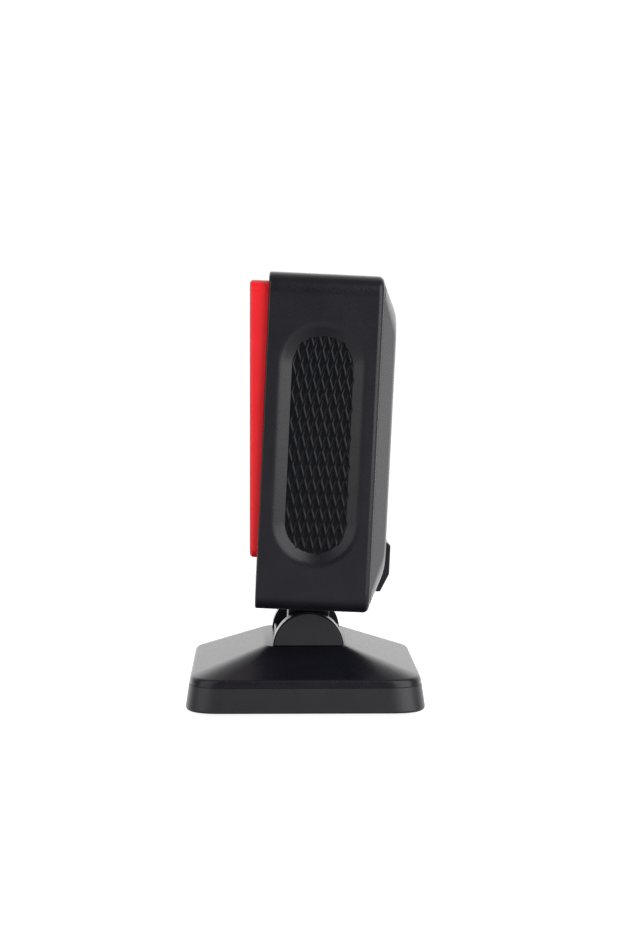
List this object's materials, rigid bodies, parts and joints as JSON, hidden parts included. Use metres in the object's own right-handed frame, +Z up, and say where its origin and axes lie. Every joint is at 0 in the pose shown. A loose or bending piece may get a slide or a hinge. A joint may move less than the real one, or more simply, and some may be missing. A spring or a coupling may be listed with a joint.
{
  "type": "hands-free presentation barcode scanner",
  "caption": "Countertop hands-free barcode scanner: a boxy black head with a red-framed scan window and textured side grips, tilting on a square weighted base.",
  "frame": {"origin": "centre of the square base, on the surface that the four rubber feet stand on", "axes": "+Z up, X along the hinge axis, -Y the way the red-framed scan window faces, +Y to the back with the cable port"},
  "size_m": [0.0818, 0.0818, 0.1491],
  "materials": {
    "black_plastic": "fine moulded texture, satin black",
    "red_plastic": "smooth semi-gloss red",
    "grip_rubber": "black, moulded lozenge relief",
    "foot_rubber": "matt black",
    "window_tint": "dark tinted, polished",
    "lens_glass": "coated, polished",
    "clear_resin": "clear, polished",
    "circuit_board": "green solder mask",
    "component_black": "matt black",
    "ribbon_film": "amber film",
    "white_plastic": "white, semi-gloss",
    "nylon": "natural nylon",
    "steel": "zinc plated",
    "cast_steel": "raw steel plate"
  },
  "bodies": {
    "base": {"base_tray": "black_plastic", "base_cover": "black_plastic", "ballast_plate": "cast_steel", "foot_1": "foot_rubber", "foot_2": "foot_rubber", "foot_3": "foot_rubber", "foot_4": "foot_rubber", "base_screw_1": "steel", "base_screw_2": "steel", "base_screw_3": "steel", "base_screw_4": "steel", "hinge_pin": "steel", "hinge_nut": "steel", "spring_washer": "steel", "friction_washer_left": "nylon", "friction_washer_right": "nylon", "hinge_cap_left": "black_plastic", "hinge_cap_right": "black_plastic"},
    "head": {"head_casing": "black_plastic", "rear_cover": "black_plastic", "front_bezel": "red_plastic", "scan_window": "window_tint", "window_gasket": "foot_rubber", "side_grip_left": "grip_rubber", "side_grip_right": "grip_rubber", "neck_knuckle": "black_plastic", "neck_screw_1": "steel", "neck_screw_2": "steel", "neck_screw_3": "steel", "neck_screw_4": "steel", "rear_screw_left": "steel", "rear_screw_right": "steel", "reflector": "white_plastic", "light_board": "circuit_board", "led_1": "clear_resin", "led_2": "clear_resin", "led_3": "clear_resin", "led_4": "clear_resin", "aiming_led": "clear_resin", "imager_block": "component_black", "lens_barrel": "component_black", "lens": "lens_glass", "image_sensor": "component_black", "sensor_board": "circuit_board", "ribbon_cable": "ribbon_film", "main_board": "circuit_board", "board_screw_1": "steel", "board_screw_2": "steel", "board_screw_3": "steel", "board_screw_4": "steel", "processor": "component_black", "buzzer": "component_black", "cable_socket": "component_black", "status_light_pipe": "clear_resin"}
  },
  "joints": [
    {"name": "head_tilt", "type": "hinge", "parent": "base", "child": "head", "pos_m": [0, 0.0011, 0.026], "axis": [-1, 0, 0], "range_deg": [-25, 35]}
  ]
}
